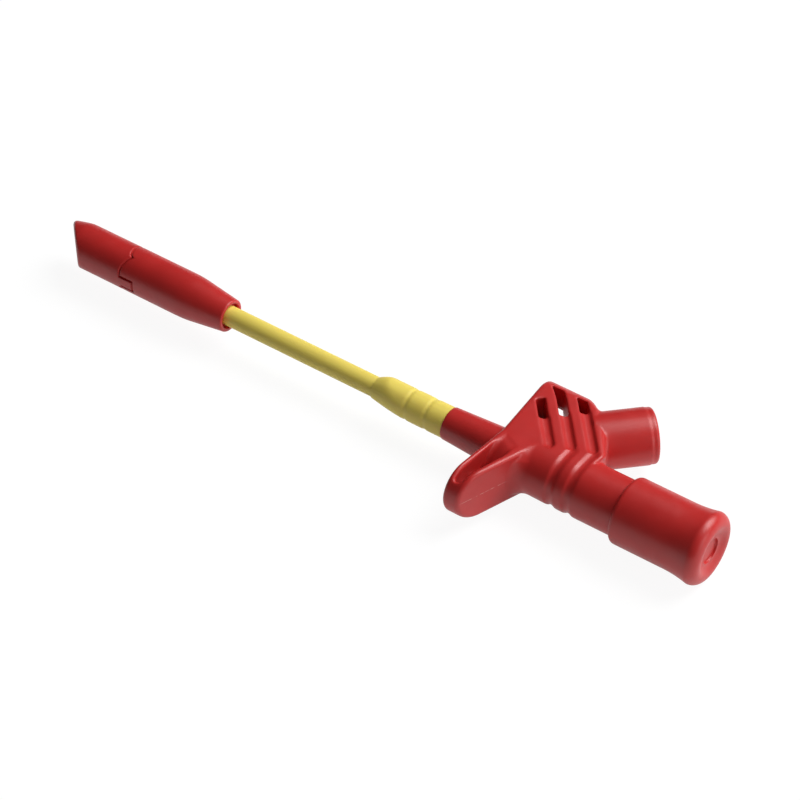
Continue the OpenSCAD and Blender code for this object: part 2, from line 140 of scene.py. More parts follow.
class HandleSizes(bpy.types.PropertyGroup):
    """Sizes of the one-piece handle moulding."""
    neck_front: length("Neck front", "Diameter of the neck at the collar", 0.0076)
    neck_rear: length("Neck rear", "Diameter of the neck at the flange", 0.0091)
    barrel_diameter: length("Barrel", "Diameter of the barrel", 0.0129)
    barrel_length: length("Barrel length", "Length of the barrel behind the flange's front", 0.0395)
    wing_reach: length("Wing reach", "Reach of the finger wing from the axis", 0.0206)
    web_reach: length("Web reach", "Reach of the web on the socket's side", 0.0218)
    flange_height: length("Flange height", "Height of the finger flange", 0.0124)
    sweep: length("Sweep", "Forward sweep of the flange at its ends", 0.0014)
    wing_tilt: angle("Wing tilt", "Upward tilt of the finger wing", 2.5)
    wing_end: length("Wing end", "Thickness of the wing at its end", 0.004)
    wing_root: length("Wing root", "Thickness of the wing at its root", 0.007)
    wing_wall: length("Wing wall", "Wall left round the pocket in the wing", 0.0013)
    groove_width: length("Groove width", "Width of the grooves and windows", 0.0021)
    groove_depth: length("Groove depth", "Depth of the grooves", 0.0008)
    groove_pitch: length("Groove pitch", "Distance from one groove to the next", 0.0045)
    socket_start: length("Socket start", "Place on the axis where the socket's axis starts", 0.0015)
    socket_angle: angle("Socket angle", "Angle between the socket and the barrel", 45)
    socket_length: length("Socket length", "Length of the socket from the axis", 0.0321)
    socket_diameter: length("Socket", "Outer diameter of the socket's shroud", 0.0127)
    shroud_bore: length("Shroud bore", "Inner diameter of the shroud", 0.0104)
    shroud_depth: length("Shroud depth", "Depth of the shroud", 0.0125)
    cell: length("Cell", "Edge of the cells that the surface is drawn with", 0.0003)


class PlungerSizes(bpy.types.PropertyGroup):
    """Sizes of the plunger cap and its spring."""
    diameter: length("Plunger", "Diameter of the plunger at its front", 0.0153)
    rim: length("Rim", "Diameter of the plunger's rim", 0.0166)
    plunger_length: length("Plunger length", "Length of the plunger", 0.0214)
    overlap: length("Overlap", "Length of barrel inside the plunger at rest", 0.0082)
    travel: length("Travel", "Travel of the plunger", 0.009)
    recess: length("Recess", "Diameter of the recess in the plunger's end", 0.0058)
    recess_depth: length("Recess depth", "Depth of that recess", 0.0005)
    rim_round: length("Rim round", "Rounding of the rim towards the plunger's end", 0.0024)
    rim_flare: length("Rim flare", "Length over which the side flares to the rim", 0.006)
    dish: length("Dish", "How far the end is dished inside its rim", 0.0008)
    spring_diameter: length("Spring", "Outer diameter of the return spring", 0.0078)
    spring_wire: length("Spring wire", "Diameter of the spring's wire", 0.0008)
    spring_turns: bpy.props.IntProperty(name="Turns", description="Turns of the spring", default=8)


class FinishColours(bpy.types.PropertyGroup):
    """Colours of the finishes and the floor."""
    red: colour("Red", "Moulded polyamide of head, handle and plunger", "c82c2a")
    red_pale: colour("Pale red", "Thin flash along the mould's parting line", "d98480")
    yellow: colour("Yellow", "Extruded polypropylene of the shaft", "ffe66c")
    brass: colour("Brass", "Turned brass of the inner contacts", "c9a552")
    nickel: colour("Nickel", "Nickel plate of the socket's contact", "c9c5bd")
    steel: colour("Steel", "Drawn steel of hook, rod and spring", "a4a6a8")
    floor: colour("Floor", "Plain pale floor", "f4f4f4")


def sizes(group):
    """All lengths of a group in millimetres, with angles and counts as they are."""
    found = {}
    for key, prop in group.bl_rna.properties.items():
        if prop.type == "FLOAT" and not prop.is_array:
            scale = 1000 if prop.unit == "LENGTH" else 1
            found[key] = getattr(group, key) * scale
        elif prop.type == "INT":
            found[key] = getattr(group, key)
    return found


def stations():
    """Places along the axis in millimetres, each the one before it plus or minus a length."""
    scene = bpy.context.scene
    head = sizes(scene.hook_head)
    shaft = sizes(scene.hook_shaft)
    handle = sizes(scene.hook_handle)
    cap = sizes(scene.hook_plunger)
    spare = 1.2
    at = {"collar_rear": -1000 * NECK_LENGTH}
    at["collar_front"] = at["collar_rear"] - shaft["collar_length"]
    at["mouth"] = at["collar_front"] - shaft["free_length"]
    at["seam"] = at["mouth"] - head["sleeve_length"]
    at["tip"] = at["seam"] - head["nose_length"]
    at["cap_front"] = handle["barrel_length"] - cap["overlap"]
    at["cap_end"] = at["cap_front"] + cap["plunger_length"]
    at["cap_floor"] = handle["barrel_length"] + cap["travel"] + spare
    return at


# Surfaces

def rounded_path(corners, cuts, steps=6):
    """Open path through the corners, each corner cut back on both sides and joined by a parabola."""
    corners = np.array(corners, float)
    path = [corners[:1]]
    t = np.linspace(0, 1, steps + 1)[:, None]
    for before, here, after, cut in zip(corners[:-2], corners[1:-1], corners[2:], cuts):
        if cut <= 0:
            path.append(here[None])
            continue
        a = here + (before - here) / np.linalg.norm(before - here) * cut
        b = here + (after - here) / np.linalg.norm(after - here) * cut
        path.append(a * (1 - t) ** 2 + here * 2 * t * (1 - t) + b * t ** 2)
    path.append(corners[-1:])
    return np.concatenate(path)


def grid_quads(rows, columns, closed):
    """Quads of a grid of rows round the axis; columns join up at the end, rows only where closed."""
    i = np.arange(rows if closed else rows - 1)[:, None]
    j = np.arange(columns)[None, :]
    i2 = (i + 1) % rows
    j2 = (j + 1) % columns
    corners = (i * columns + j, i * columns + j2, i2 * columns + j2, i2 * columns + j)
    return np.stack(corners, axis=-1).reshape(-1, 4)


def turned(x, r, theta):
    """Points of rows round the axis: x along it, r cos theta and r sin theta across it."""
    x, r, theta = np.broadcast_arrays(x, r, theta)
    return np.stack((x, r * np.cos(theta), r * np.sin(theta)), axis=-1).reshape(-1, 3)


def full_turn(columns):
    """Angles of evenly spread columns round the axis, from +y towards +z, as one row."""
    return np.linspace(0, 2 * np.pi, columns, endpoint=False)[None, :]


def add_piece(name, points, faces, node, body, material, crease=40):
    """Makes a mesh object of points in millimetres about the axis, moved into the part's frame, in place of
    a node. Edges stay sharp where their faces turn by more than the crease in degrees."""
    merged_within = 1e-7
    mesh = bpy.data.meshes.new(name)
    mesh.from_pydata(np.asarray(points) / 1000 + (FLANGE_X, AXIS_Y, AXIS_Z), [], faces.tolist())
    work = bmesh.new()
    work.from_mesh(mesh)
    bmesh.ops.remove_doubles(work, verts=work.verts, dist=merged_within)
    work.to_mesh(mesh)
    work.free()
    mesh.shade_smooth()
    mesh.set_sharp_from_angle(angle=math.radians(crease))
    mesh.materials.append(material)
    piece = bpy.data.objects.new(name, mesh)
    bpy.context.scene.collection.objects.link(piece)
    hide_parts(node)
    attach(piece, body)
    return piece


def drop_unused(points, faces):
    """The same faces with only the points that they use."""
    used, place = np.unique(faces, return_inverse=True)
    return points[used], place.reshape(faces.shape)


# Head

# Stretches before and behind the seam that are drawn in fine rows, and the pitch of those rows
SEAM_BEFORE = 2.6
SEAM_BEHIND = 3.4
SEAM_PITCH = 0.07
# How far behind the seam the sleeve's edge lies between its lobes, and the radius that both edges turn in to
EDGE_BEHIND = 0.3
SEAM_INNER_R = 4.2
TONGUE_ANGLE = math.radians(182.5)
# Each lobe's middle in degrees round the axis, its reach and the power of its cosine
LOBES = ((152, 1.55, 1.0), (62, 1.7, 0.5), (-62, 1.7, 0.5), (-147, 1.55, 1.0))


def seam_field(theta, x, head, at):
    """Distance from the seam on the unrolled head, positive on the nose's side. The sleeve's edge is level
    but for four lobes a quarter turn wide, each a power of a cosine, and two tongues of the nose cut it."""
    radius = head["diameter"] / 2
    edge = np.zeros_like(theta)
    for degrees, reach, power in LOBES:
        turn = np.cos(2 * (theta - math.radians(degrees)))
        facing = np.cos(theta - math.radians(degrees)) > 0
        edge = np.maximum(edge, np.where(facing, reach * np.maximum(turn, 0) ** power, 0))
    slope = (np.roll(edge, -1) - np.roll(edge, 1)) / (2 * radius * (theta[0, 1] - theta[0, 0]))
    field = (at["seam"] + EDGE_BEHIND - edge - x) / np.hypot(1, slope)
    for middle in (TONGUE_ANGLE, TONGUE_ANGLE - math.pi):
        turn = theta - middle
        across = np.abs(radius * np.arctan2(np.sin(turn), np.cos(turn))) - head["tongue_width"] / 2
        behind = x - at["seam"] - head["tongue_length"]
        field = np.maximum(field, -np.maximum(across, behind))
    return field


def seam_rows(head, at, columns):
    """Fine rows over the seam: x evenly spaced, r the head's radius less a groove that falls off with
    the square of the distance from the seam. Returns x, r, angles and the field at the rows' points."""
    theta = full_turn(columns)
    x = np.arange(at["seam"] - SEAM_BEFORE, at["seam"] + SEAM_BEHIND, SEAM_PITCH)[:, None]
    field = seam_field(theta, x, head, at)
    dip = head["seam_depth"] * np.exp(-((field / head["seam_width"]) ** 2))
    return x + 0 * theta, head["diameter"] / 2 - dip, theta, field


def close_seam(points, faces, at):
    """Turns the open edge of a shell at the seam in towards the axis: each edge there that only one face has
    gets a quad down to the inner radius."""
    edges = np.concatenate([faces[:, [k, (k + 1) % 4]] for k in range(4)])
    key = np.sort(edges, axis=1)
    flat = key[:, 0] * len(points) + key[:, 1]
    first, count = np.unique(flat, return_index=True, return_counts=True)[1:]
    rim = edges[first[count == 1]]
    middle = points[rim].mean(axis=1)
    outside = np.hypot(middle[:, 1], middle[:, 2]) > SEAM_INNER_R
    at_seam = (middle[:, 0] > at["seam"] - SEAM_BEFORE) & (middle[:, 0] < at["seam"] + SEAM_BEHIND)
    rim = rim[at_seam & outside]
    used, place = np.unique(rim, return_inverse=True)
    place = place.reshape(rim.shape) + len(points)
    inner = points[used].copy()
    inner[:, 1:] *= (SEAM_INNER_R / np.hypot(inner[:, 1], inner[:, 2]))[:, None]
    walls = np.stack((rim[:, 1], rim[:, 0], place[:, 0], place[:, 1]), axis=1)
    return np.concatenate((points, inner)), np.concatenate((faces, walls))


def nose_radius(x, head, at):
    """Outer radius of the nose: the head's radius less a line and a parabola over the taper at the long lip,
    which start softly."""
    softness = 0.004
    line = 0.76
    parabola = 0.24
    share = (at["tip"] + head["lip_taper_length"] - x) / head["lip_taper_length"]
    share = 0.5 * (share + np.sqrt(share * share + softness))
    return head["diameter"] / 2 - head["lip_taper"] * (line * share + parabola * share * share)


def nose_surface(head, at, columns=480):
    """Nose hood from its bore, over the slanted end and back to the seam. The slant is the plane
    x = tip + (tip radius - y) tan(slant), and its two edges are rounded by parabolas."""
    theta = full_turn(columns)
    rise = math.tan(head["slant"])
    tip_r = head["diameter"] / 2 - head["lip_taper"]
    bore_r = head["nose_bore"] / 2
    bore_rear = at["seam"] + 6.6
    bore_rows = 8
    side_rows = 40
    round_in = 0.3
    least_round = 0.6
    roundest = math.radians(30)
    round_out = least_round + np.maximum(np.cos(theta - roundest), 0) ** 2
    t = np.linspace(0, 1, 7)[:, None]

    def cut_x(r):
        return at["tip"] + (tip_r - r * np.cos(theta)) * rise

    def parabola(a, b, c):
        return a * (1 - t) ** 2 + b * 2 * t * (1 - t) + c * t ** 2

    # The slant's outer edge is where its plane meets the nose, and each try puts the one into the other
    edge = cut_x(tip_r)
    for attempt in range(40):
        edge = cut_x(nose_radius(edge, head, at))
    edge_r = nose_radius(edge, head, at)

    ones = np.ones_like(theta)
    in_x = cut_x(bore_r)
    x, r, theta, field = seam_rows(head, at, columns)
    bore_x = np.linspace(0, 1, bore_rows)[:, None] * (in_x + round_in - bore_rear) + bore_rear
    side_x = edge + round_out + np.linspace(0, 1, side_rows)[1:-1, None] * (x[0] - edge - round_out)
    rows_x = [bore_x,
              parabola(in_x + round_in, in_x, cut_x(bore_r + round_in)),
              parabola(cut_x(edge_r - round_out), edge, edge + round_out),
              side_x, x]
    rows_r = [bore_r * np.ones((bore_rows, 1)) * ones,
              parabola(bore_r, bore_r, bore_r + round_in) * ones,
              parabola(edge_r - round_out, edge_r, nose_radius(edge + round_out, head, at)),
              nose_radius(side_x, head, at), r]
    plain = sum(len(rows) for rows in rows_x[:-1])
    all_x = np.concatenate(rows_x)
    points = turned(all_x, np.concatenate(rows_r), theta)
    faces = grid_quads(len(all_x), columns, closed=False)
    side = np.concatenate((np.ones((plain, columns)), field)).ravel()
    faces = faces[side[faces].mean(axis=1) > 0]
    points, faces = drop_unused(points, faces)
    return close_seam(points, faces, at)


def sleeve_surface(head, shaft, at, columns=480):
    """Head sleeve from the seam, along the sleeve and its taper, round the mouth and into the recess."""
    x, r, theta, field = seam_rows(head, at, columns)
    head_r = head["diameter"] / 2
    mouth_r = head["mouth_diameter"] / 2
    recess_r = head["mouth_recess"] / 2
    shaft_r = shaft["diameter"] / 2 + PLAY
    mouth = at["mouth"]
    taper = mouth - head["mouth_taper"]
    recess_end = mouth - 1.4
    corners = [(x[-1, 0], head_r), (taper, head_r), (mouth, mouth_r), (mouth, recess_r),
               (recess_end, recess_r), (recess_end, shaft_r)]
    roundings = (2.2, 0.45, 0.25, 0.2)
    path = rounded_path(corners, roundings, steps=10)[1:]
    all_x = np.concatenate((x, path[:, :1] + 0 * theta))
    all_r = np.concatenate((r, path[:, 1:] + 0 * theta))
    points = turned(all_x, all_r, theta)
    faces = grid_quads(len(all_x), columns, closed=False)
    side = np.concatenate((field, -np.ones((len(path), columns)))).ravel()
    faces = faces[side[faces].mean(axis=1) < 0]
    points, faces = drop_unused(points, faces)
    return close_seam(points, faces, at)


# Shaft collar

def collar_surface(shaft, at, columns=128):
    """Collar round the shaft: the radius climbs by a quarter of a sine over a shoulder whose length
    changes with the cosine of the angle, less two shallow rings with a bell-shaped section."""
    theta = full_turn(columns)
    shaft_r = shaft["diameter"] / 2 + PLAY
    collar_r = shaft["collar_diameter"] / 2
    lip = shaft_r + 0.18
    lip_bevel = 0.06
    rear_bevel = 0.12
    ring_places = (-23.6, -18.4)
    ring_half = 0.5
    shortest = math.radians(60)
    start = at["collar_front"]
    end = at["collar_rear"]
    side_end = end - 0.15
    reach = shaft["shoulder"] - shaft["shoulder_skew"] * np.cos(theta - shortest)
    x = np.linspace(start, side_end, 130)[:, None]
    climb = np.sin(np.pi / 2 * np.clip((x - start) / reach, 0, 1))
    r = lip + (collar_r - lip) * climb
    for ring in ring_places:
        r = r - shaft["ring_depth"] * np.exp(-(((x - ring) / ring_half) ** 2))
    front_x = np.full((2, columns), start)
    front_r = np.stack((np.full(columns, shaft_r), np.full(columns, lip - lip_bevel)))
    back_x = np.full((2, columns), end)
    back_r = np.stack((np.full(columns, collar_r - rear_bevel), np.full(columns, shaft_r)))
    x = np.concatenate((front_x, x + lip_bevel + 0 * theta, back_x))
    r = np.concatenate((front_r, r, back_r))
    return turned(x, r, theta), grid_quads(len(x), columns, closed=True)


# Plunger and spring

def plunger_surface(handle, cap, at, columns=192):
    """Plunger cap turned about the axis: a side that flares to the rim by a parabola, a quarter round, an
    end dished by a cubic with a plain recess in it, and inside the bore with its boss."""
    front_r = cap["diameter"] / 2
    rim_r = cap["rim"] / 2
    rim_round = cap["rim_round"]
    barrel_r = handle["barrel_diameter"] / 2
    front = at["cap_front"]
    end = at["cap_end"]
    floor = at["cap_floor"]
    lead_round = 1.05
    side_start = front + 1.1
    rim_x = end - rim_round
    side_x = np.linspace(side_start, rim_x, 40)
    share = np.clip((side_x - rim_x) / cap["rim_flare"] + 1, 0, 1)
    side = np.stack((side_x, front_r + (rim_r - front_r) * share ** 2), axis=1)
    turn = np.linspace(0, np.pi / 2, 13)[1:]
    rim = np.stack((rim_x + rim_round * np.sin(turn), rim_r - rim_round * (1 - np.cos(turn))), axis=1)

    recess_r = cap["recess"] / 2
    dish_r = recess_r + 0.25
    dish_x = end - cap["dish"]
    recess_x = dish_x - cap["recess_depth"]
    recess_draft = 0.12
    recess_round = 0.08
    share = np.linspace(0, 1, 9)[1:]
    slope = np.stack((end - cap["dish"] * share * share * (3 - 2 * share),
                      rim[-1, 1] + (dish_r - rim[-1, 1]) * share), axis=1)
    corners = [slope[-1], (dish_x, recess_r), (recess_x, recess_r - recess_draft), (recess_x, 0)]
    recess = rounded_path(corners, (recess_round, recess_round), steps=5)

    # Inside, a boss with a hole takes the rod, and the barrel's bead holds back a lip at the front
    boss = floor - 5.5
    boss_r = 2.7
    hole = boss + 4.5
    hole_r = 1.93
    bead_r = barrel_r + 0.41
    lip_r = barrel_r + 0.06
    lip_rear = handle["barrel_length"] - 2.1
    corners = [(hole, 0), (hole, hole_r), (boss, hole_r), (boss, boss_r), (floor, boss_r), (floor, bead_r),
               (lip_rear, bead_r), (lip_rear, lip_r), (front, lip_r)]
    inside = rounded_path(corners, (0, 0.2, 0.2, 0.4, 0.4, 0, 0.1))
    lead = rounded_path([(front, lip_r), (front, front_r), side[0]], (lead_round,), steps=8)
    path = np.concatenate((lead, side[1:], rim, slope, recess[1:], inside))
    points = turned(path[:, :1], path[:, 1:], full_turn(columns))
    return points, grid_quads(len(path), columns, closed=False)


def spring_surface(cap, at, sides=12, steps=36):
    """Return spring: a circle of the wire's radius carried along a helix, flat for a quarter of a turn
    at each end, and closed by the end rings drawn in to a point."""
    wire = cap["spring_wire"] / 2
    coil_r = cap["spring_diameter"] / 2 - wire
    turns = cap["spring_turns"]
    flat_turn = 0.25
    point_r = 1e-4
    start = 1000 * SPRING_SEAT + wire + PLAY
    span = at["cap_floor"] - wire - PLAY - start
    t = np.linspace(0, 1, turns * steps + 1)
    lift = np.clip((t * turns - flat_turn) / (turns - 2 * flat_turn), 0, 1)
    turn = (2 * np.pi * turns * t)[:, None]
    around = full_turn(sides)
    size = np.full_like(t, wire)[:, None]
    size[[0, -1]] = point_r
    x = (start + span * lift)[:, None] + size * np.sin(around)
    r = coil_r + size * np.cos(around)
    return turned(x, r, turn), grid_quads(len(t), sides, closed=False)[:, ::-1]


# Handle moulding

# Roundings of the handle's edges and openings, and fillets of its inner corners
EDGES = {"neck": 0.2, "barrel_front": 2.5, "barrel_rear": 0.3, "flange": 0.9, "wing_rear": 0.8,
         "web_end": 1.3, "stub_end": 0.7, "plunger_room": 1.1, "window": 0.35, "hollow": 0.3, "shroud": 0.3}
FILLETS = {"crotch": 2, "wing": 2.4, "neck": 0.5, "stub": 0.9}
# Sections of the grooves: widths of the near flank, of the flat bottom and of the far flank
LEG_SECTION = (1.35, 0.75, 0.85)
RING_SECTION = (1.0, 0.4, 1.5)
# Where the first groove's leg starts along the socket's axis, and where two of the grooves ring the barrel
FIRST_LEG = 8.7
RINGS = (None, 15.5, 19.8)
# How much the legs lean, and the distance across the socket's axis at which that begins
LEAN = 0.085
LEAN_FROM = 8.5


def join(a, b, radius):
    """Union of two distance fields with a fillet of that radius in the inner corner."""
    fillet = np.hypot(np.maximum(radius - a, 0), np.maximum(radius - b, 0))
    return np.maximum(radius, np.minimum(a, b)) - fillet


def faded_join(a, b, radius, share):
    """Union of two distance fields whose fillet comes in as the share goes from 0 to 1."""
    return np.minimum(a, b) * (1 - share) + join(a, b, radius) * share


def trim(a, b, radius):
    """What two distance fields share, with the outer edge between them rounded to that radius."""
    rounding = np.hypot(np.maximum(radius + a, 0), np.maximum(radius + b, 0))
    return np.minimum(-radius, np.maximum(a, b)) + rounding


def smooth(share):
    """Cubic step from 0 to 1 that starts and ends level."""
    share = np.clip(share, 0, 1)
    return share * share * (3 - 2 * share)


def fade_in(value, start, span):
    """Smooth step of a value: 0 up to its start, and 1 from a span further on."""
    return smooth((value - start) / span)


def groove(distance, side, near, flat, far):
    """Depth of a groove from 1 on its line to 0 at its rounded edges. Where side is positive its flank is far
    wide, after a flat bottom, and where it is negative its flank is near wide."""
    return 1 - smooth(np.where(side > 0, (distance - flat) / far, distance / near))


def socket_axes(x, y, h):
    """Distances along and across the socket's axis, which leaves the shaft's axis at the socket's angle."""
    c, s = math.cos(h["socket_angle"]), math.sin(h["socket_angle"])
    out = x - h["socket_start"]
    return out * c + y * s, out * -s + y * c


def leaning(along, across):
    """Distance along the socket's axis, for legs that lean forward on their way to the barrel."""
    return along + LEAN * np.maximum(LEAN_FROM - across, 0)


def leg_places(h):
    """Distances along the socket's axis at which the legs of the three grooves start."""
    return [FIRST_LEG + k * h["groove_pitch"] for k in range(3)]


def web_front(y, h):
    """Place of the web's front face, a straight line that sweeps forward."""
    return -h["sweep"] * y / h["web_reach"]


def wing_axes(y, z, h):
    """Distances along the wing, which is tilted up and lies on the negative side, and up from its middle."""
    c, s = math.cos(h["wing_tilt"]), math.sin(h["wing_tilt"])
    return y * c - z * s, y * s + z * c


def wing_faces(wy, h):
    """Places of the wing's front and rear faces, which are straight lines, and the slope of the rear one."""
    end = h["wing_end"] - h["sweep"]
    slope = (h["wing_root"] - end) / (h["wing_reach"] - h["barrel_diameter"] / 2)
    front_x = h["sweep"] * np.minimum(wy, 0) / h["wing_reach"]
    return front_x, end + slope * (wy + h["wing_reach"]), slope


def uncut_handle(x, y, z, h):
    """Distance field of the handle before it is cut: a cone and a barrel about the axis, a finger wing and a
    web cut from half-round bars, a filled crotch and a stub about the socket's axis, joined with fillets."""
    rho = np.hypot(y, z)
    flange_r = h["flange_height"] / 2
    full_r = h["barrel_diameter"] / 2
    barrel_r = flange_r + (full_r - flange_r) * fade_in(x, start=0, span=20)
    barrel_start = 0.3
    barrel = trim(rho - barrel_r, barrel_start - x, EDGES["barrel_front"])
    barrel = trim(barrel, x - h["barrel_length"], EDGES["barrel_rear"])
    bead_height = 0.35
    bead_back = 1.05
    bead_half = 0.95
    bead = np.maximum(rho - full_r - bead_height, np.abs(x - h["barrel_length"] + bead_back) - bead_half)
    neck_length = 1000 * NECK_LENGTH
    neck_root = 4
    taper = np.clip(-x / neck_length, 0, 1)
    neck_r = (h["neck_rear"] + (h["neck_front"] - h["neck_rear"]) * taper) / 2
    neck = np.maximum(trim(rho - neck_r, -neck_length - x, EDGES["neck"]), x - neck_root)

    wy, wz = wing_axes(y, z, h)
    front_x, rear_x, slope = wing_faces(wy, h)
    wing_bar = np.hypot(wy - np.clip(wy, flange_r - h["wing_reach"], 0), wz) - flange_r
    wing = trim(wing_bar, front_x - x, EDGES["flange"])
    wing = trim(wing, (x - rear_x) / math.hypot(1, slope), EDGES["wing_rear"])

    along, across = socket_axes(x, y, h)
    web_end = 20.6
    end_slant = 0.15
    web_side = 3
    end = along - web_end - end_slant * np.minimum(across, 0)
    web_bar = np.hypot(y - np.clip(y, 0, h["web_reach"] - flange_r), z) - flange_r
    web = trim(trim(web_bar, web_front(y, h) - x, EDGES["flange"]), end, EDGES["web_end"])
    web = np.maximum(web, -across - web_side)

    # The crotch between barrel and socket is filled up to a flat top that meets the barrel's without an edge
    crotch_front = 0.8
    crotch_side = 2.5
    top = flange_r + (barrel_r - flange_r) * (1 - fade_in(y, start=0, span=6))
    crotch = trim(np.abs(z) - top, end, EDGES["web_end"])
    crotch = np.maximum(crotch, np.maximum(-y, crotch_front - x))
    crotch = np.maximum(crotch, across - crotch_side)

    # A shallow step makes the stub thinner at its end
    step_depth = 0.14
    step_back = 1.75
    step_length = 0.3
    stub_start = 18
    step = step_depth * np.clip((along - h["socket_length"] + step_back) / step_length, 0, 1)
    stub = np.hypot(across, z) - h["socket_diameter"] / 2 + step
    stub = trim(stub, along - h["socket_length"], EDGES["stub_end"])
    stub = np.maximum(stub, stub_start - along)

    # The fillets fade in: the crotch's towards its end, the wing's towards its rear and its middle, and the
    # stub's to both sides of its axis
    near_end = fade_in(along, start=16.5, span=1.5) * fade_in(y, start=0, span=2)
    body = faded_join(barrel, crotch, FILLETS["crotch"], near_end)
    body = np.minimum(body, web)
    above_flange = 0.6
    fade_height = 2.4
    fade_start = 1.5
    fade_length = 2.5
    least_at_top = 0.2
    least_in_front = 0.01
    middle = np.clip((flange_r + above_flange - np.abs(wz)) / fade_height, least_at_top, 1)
    rear = np.clip((x - fade_start) / fade_length, least_in_front, 1)
    level = np.minimum(y, 0) * math.sin(h["wing_tilt"]) + z * math.cos(h["wing_tilt"])
    body = np.maximum(join(body, wing, FILLETS["wing"] * (middle * rear)), np.abs(level) - barrel_r)
    body = join(body, neck, FILLETS["neck"])
    beside = fade_in(along, start=19, span=1.2) * fade_in(np.abs(across), start=2.5, span=2)
    body = faded_join(body, stub, FILLETS["stub"], beside)

    # The pressed plunger needs room round the barrel as far as this
    room_r = 7.8
    room_front = 22.1
    room_corner = 1
    room = trim(rho - room_r, room_front - x, room_corner)
    return np.minimum(trim(body, -room, EDGES["plunger_room"]), np.minimum(barrel, bead))


def chevron_depth(x, y, h):
    """Depth of the chevron grooves as a share of the full depth: three legs lean across the web, and two of
    them run into a ring round the barrel, from where the lines of leg and ring cross."""
    along, across = socket_axes(x, y, h)
    slanted = leaning(along, across)
    c, s = math.cos(h["socket_angle"]), math.sin(h["socket_angle"])
    leg_depth = 0.8
    leg_far_end = 2.6
    first_leg_end = -5.3
    past_bend = 1.2
    ring_depth = 0.5
    ring_end = -12
    depth = np.zeros_like(x)
    for start, ring in zip(leg_places(h), RINGS):
        leg_end = first_leg_end
        if ring is not None:
            reach = ring - h["socket_start"]
            bend_y = (start - LEAN_FROM * LEAN - reach * (c + LEAN * s)) / (s - LEAN * c)
            leg_end = bend_y * c - reach * s + past_bend
            line = np.hypot(x - ring, y - np.clip(y, ring_end, bend_y))
            depth = np.maximum(depth, ring_depth * groove(line, x - ring, *RING_SECTION))
        line = np.hypot(slanted - start, across - np.clip(across, leg_end, leg_far_end))
        depth = np.maximum(depth, leg_depth * groove(line, slanted - start, *LEG_SECTION))
    return depth


def cut_windows(body, x, y, z, h):
    """Takes a window at the end of each leg out of the web, and under the middle one a hollow that is open
    at the bottom."""
    along, across = socket_axes(x, y, h)
    slanted = leaning(along, across)
    places = leg_places(h)
    near_corner = 0.4
    far_corner = 0.25
    window_front = 0.75
    ends = (across - 8.9, y - 17.75, y - 17.75)
    # Windows start nearer to the socket at the top than inside, where its contact lies
    top_near = 3.2
    inside_step = 0.3
    inside_from = 5.4
    step_height = 2
    near = top_near + inside_step * np.clip((inside_from - np.abs(z)) / step_height, 0, 1)
    for place, end in zip(places, ends):
        window = trim(np.abs(slanted - place) - h["groove_width"] / 2, near - across, near_corner)
        window = trim(trim(window, end, far_corner), window_front - x, far_corner)
        body = trim(body, -window, EDGES["window"])
    hollow_shift = 0.05
    hollow_half = 1.85
    hollow_side = 3.5
    hollow_top = 0.3
    wall_bottom = 3.2
    outwards = np.minimum(y - h["web_reach"] + h["wing_wall"], z + wall_bottom)
    hollow = np.maximum(web_front(y, h) + h["wing_wall"] - x, outwards)
    hollow = np.maximum(hollow, np.abs(along - places[1] - hollow_shift) - hollow_half)
    hollow = np.maximum(np.maximum(hollow, hollow_side - across), z - hollow_top)
    return trim(body, -hollow, EDGES["hollow"])


def cut_pockets(body, x, y, z, h):
    """Takes a pocket out of the wing from above and one from below. Their floors rise towards the root by a
    parabola, sooner at the rear than at the front, and their edges get softer outwards."""
    wy, wz = wing_axes(y, z, h)
    front_x, rear_x = wing_faces(wy, h)[:2]
    skew = 0.5
    skew_from = 3
    inner = wy + skew * (x - skew_from)
    root_floor = 6.2
    floor_drop = 5.7
    drop_start = 2
    drop_length = 8.5
    steepness = 0.75
    drop = floor_drop * np.clip((-inner - drop_start) / drop_length, 0, 1) ** 2
    floor = (root_floor - drop - np.abs(wz)) * steepness
    rear_wall = 1.6
    end_wall = 2.3
    inner_end = 1.4
    wall_corner = 0.6
    end_corner = 0.7
    pocket = trim(front_x + h["wing_wall"] - x, x - rear_x + rear_wall, wall_corner)
    pocket = trim(pocket, end_wall - h["wing_reach"] - wy, end_corner)
    pocket = np.maximum(pocket, inner + inner_end)
    inward = fade_in(inner, start=-17, span=10)
    floor_corner = 0.3 + 0.9 * inward
    pocket_edge = 0.85 - 0.5 * inward
    return trim(body, -trim(pocket, floor, floor_corner), pocket_edge)


def cut_bores(body, x, y, z, h):
    """Takes out the stub's shroud and the round bores for the contact, the shaft tube, the guide tube, the
    rod's bush and the spring."""
    along, across = socket_axes(x, y, h)
    from_socket = np.hypot(across, z)
    rho = np.hypot(y, z)
    shroud_floor = h["socket_length"] - h["shroud_depth"]
    shroud = np.maximum(from_socket - h["shroud_bore"] / 2, shroud_floor - along)
    body = trim(body, -shroud, EDGES["shroud"])
    contact_bore = np.maximum(from_socket - 2.78, np.abs(along - 15) - 6.4)
    tube_bore = np.maximum(rho - 2.38, x + 7.6)
    guide_bore = np.maximum(rho - 1.63, x + 3)
    bush_bore = np.maximum(rho - 3.03, np.abs(x - 8.5) - 12)
    spring_bore = np.maximum(rho - 4.25, 20 - x)
    for bore in (contact_bore, tube_bore, guide_bore, bush_bore, spring_bore):
        body = np.maximum(body, -bore)
    return body


def handle_field(x, y, z, h):
    """Distance field of the handle: the uncut moulding, less the chevron grooves, the windows and their
    hollow, the wing's pockets and the bores."""
    body = uncut_handle(x, y, z, h) + h["groove_depth"] * chevron_depth(x, y, h)
    body = cut_windows(body, x, y, z, h)
    body = cut_pockets(body, x, y, z, h)
    return cut_bores(body, x, y, z, h)


